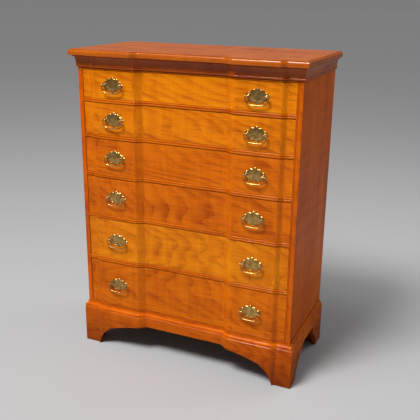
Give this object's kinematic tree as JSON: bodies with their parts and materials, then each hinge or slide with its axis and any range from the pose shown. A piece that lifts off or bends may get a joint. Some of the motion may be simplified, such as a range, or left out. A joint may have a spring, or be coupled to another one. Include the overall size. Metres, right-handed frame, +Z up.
{
  "type": "chest of drawers",
  "caption": "Tall block front chest of graduated dovetailed drawers on bracket feet, with hanging brass bail pulls.",
  "frame": {"origin": "on the floor, under the middle of the chest's overall width and depth", "axes": "+Z up, the drawer fronts face -Y, +X to the right seen from the front"},
  "size_m": [1.008, 0.514, 1.325],
  "materials": {
    "show_wood": "glossy orange-brown cherry",
    "secondary_wood": "unfinished poplar and pine",
    "brass": "aged brass"
  },
  "bodies": {
    "carcass": {"top_board": "show_wood", "cornice_moulding": "show_wood", "case_side_left": "show_wood", "case_side_right": "show_wood", "back_boards": "secondary_wood", "bottom_board": "secondary_wood", "top_rail": "show_wood", "bottom_rail": "show_wood", "top_cleats": "secondary_wood", "divider_1": "show_wood", "divider_2": "show_wood", "divider_3": "show_wood", "divider_4": "show_wood", "divider_5": "show_wood", "dust_panels": "secondary_wood", "drawer_runners": "secondary_wood", "drawer_stops": "secondary_wood", "base_moulding": "show_wood", "foot_front_left": "show_wood", "foot_front_right": "show_wood", "foot_rear_left": "show_wood", "foot_rear_right": "show_wood"},
    "drawer_1": {"drawer_1_front": "show_wood", "drawer_1_sides_and_back": "secondary_wood", "drawer_1_bottom": "secondary_wood", "drawer_1_pull_hardware": "brass"},
    "drawer_1_bail_left": {"drawer_1_bail_left": "brass"},
    "drawer_1_bail_right": {"drawer_1_bail_right": "brass"},
    "drawer_2": {"drawer_2_front": "show_wood", "drawer_2_sides_and_back": "secondary_wood", "drawer_2_bottom": "secondary_wood", "drawer_2_pull_hardware": "brass"},
    "drawer_2_bail_left": {"drawer_2_bail_left": "brass"},
    "drawer_2_bail_right": {"drawer_2_bail_right": "brass"},
    "drawer_3": {"drawer_3_front": "show_wood", "drawer_3_sides_and_back": "secondary_wood", "drawer_3_bottom": "secondary_wood", "drawer_3_pull_hardware": "brass"},
    "drawer_3_bail_left": {"drawer_3_bail_left": "brass"},
    "drawer_3_bail_right": {"drawer_3_bail_right": "brass"},
    "drawer_4": {"drawer_4_front": "show_wood", "drawer_4_sides_and_back": "secondary_wood", "drawer_4_bottom": "secondary_wood", "drawer_4_pull_hardware": "brass"},
    "drawer_4_bail_left": {"drawer_4_bail_left": "brass"},
    "drawer_4_bail_right": {"drawer_4_bail_right": "brass"},
    "drawer_5": {"drawer_5_front": "show_wood", "drawer_5_sides_and_back": "secondary_wood", "drawer_5_bottom": "secondary_wood", "drawer_5_pull_hardware": "brass"},
    "drawer_5_bail_left": {"drawer_5_bail_left": "brass"},
    "drawer_5_bail_right": {"drawer_5_bail_right": "brass"},
    "drawer_6": {"drawer_6_front": "show_wood", "drawer_6_sides_and_back": "secondary_wood", "drawer_6_bottom": "secondary_wood", "drawer_6_pull_hardware": "brass"},
    "drawer_6_bail_left": {"drawer_6_bail_left": "brass"},
    "drawer_6_bail_right": {"drawer_6_bail_right": "brass"}
  },
  "joints": [
    {"name": "drawer_1_slide", "type": "slide", "parent": "carcass", "child": "drawer_1", "axis": [0, -1, 0], "range_m": [0, 0.31]},
    {"name": "drawer_1_bail_left_hinge", "type": "hinge", "parent": "drawer_1", "child": "drawer_1_bail_left", "pos_m": [-0.31, -0.2351, 1.1885], "axis": [-1, 0, 0], "range_deg": [0, 85]},
    {"name": "drawer_1_bail_right_hinge", "type": "hinge", "parent": "drawer_1", "child": "drawer_1_bail_right", "pos_m": [0.31, -0.2351, 1.1885], "axis": [-1, 0, 0], "range_deg": [0, 85]},
    {"name": "drawer_2_slide", "type": "slide", "parent": "carcass", "child": "drawer_2", "axis": [0, -1, 0], "range_m": [0, 0.31]},
    {"name": "drawer_2_bail_left_hinge", "type": "hinge", "parent": "drawer_2", "child": "drawer_2_bail_left", "pos_m": [-0.31, -0.2351, 1.047], "axis": [-1, 0, 0], "range_deg": [0, 85]},
    {"name": "drawer_2_bail_right_hinge", "type": "hinge", "parent": "drawer_2", "child": "drawer_2_bail_right", "pos_m": [0.31, -0.2351, 1.047], "axis": [-1, 0, 0], "range_deg": [0, 85]},
    {"name": "drawer_3_slide", "type": "slide", "parent": "carcass", "child": "drawer_3", "axis": [0, -1, 0], "range_m": [0, 0.31]},
    {"name": "drawer_3_bail_left_hinge", "type": "hinge", "parent": "drawer_3", "child": "drawer_3_bail_left", "pos_m": [-0.31, -0.2351, 0.8885], "axis": [-1, 0, 0], "range_deg": [0, 85]},
    {"name": "drawer_3_bail_right_hinge", "type": "hinge", "parent": "drawer_3", "child": "drawer_3_bail_right", "pos_m": [0.31, -0.2351, 0.8885], "axis": [-1, 0, 0], "range_deg": [0, 85]},
    {"name": "drawer_4_slide", "type": "slide", "parent": "carcass", "child": "drawer_4", "axis": [0, -1, 0], "range_m": [0, 0.31]},
    {"name": "drawer_4_bail_left_hinge", "type": "hinge", "parent": "drawer_4", "child": "drawer_4_bail_left", "pos_m": [-0.31, -0.2351, 0.713], "axis": [-1, 0, 0], "range_deg": [0, 85]},
    {"name": "drawer_4_bail_right_hinge", "type": "hinge", "parent": "drawer_4", "child": "drawer_4_bail_right", "pos_m": [0.31, -0.2351, 0.713], "axis": [-1, 0, 0], "range_deg": [0, 85]},
    {"name": "drawer_5_slide", "type": "slide", "parent": "carcass", "child": "drawer_5", "axis": [0, -1, 0], "range_m": [0, 0.31]},
    {"name": "drawer_5_bail_left_hinge", "type": "hinge", "parent": "drawer_5", "child": "drawer_5_bail_left", "pos_m": [-0.31, -0.2351, 0.5205], "axis": [-1, 0, 0], "range_deg": [0, 85]},
    {"name": "drawer_5_bail_right_hinge", "type": "hinge", "parent": "drawer_5", "child": "drawer_5_bail_right", "pos_m": [0.31, -0.2351, 0.5205], "axis": [-1, 0, 0], "range_deg": [0, 85]},
    {"name": "drawer_6_slide", "type": "slide", "parent": "carcass", "child": "drawer_6", "axis": [0, -1, 0], "range_m": [0, 0.31]},
    {"name": "drawer_6_bail_left_hinge", "type": "hinge", "parent": "drawer_6", "child": "drawer_6_bail_left", "pos_m": [-0.31, -0.2351, 0.311], "axis": [-1, 0, 0], "range_deg": [0, 85]},
    {"name": "drawer_6_bail_right_hinge", "type": "hinge", "parent": "drawer_6", "child": "drawer_6_bail_right", "pos_m": [0.31, -0.2351, 0.311], "axis": [-1, 0, 0], "range_deg": [0, 85]}
  ]
}
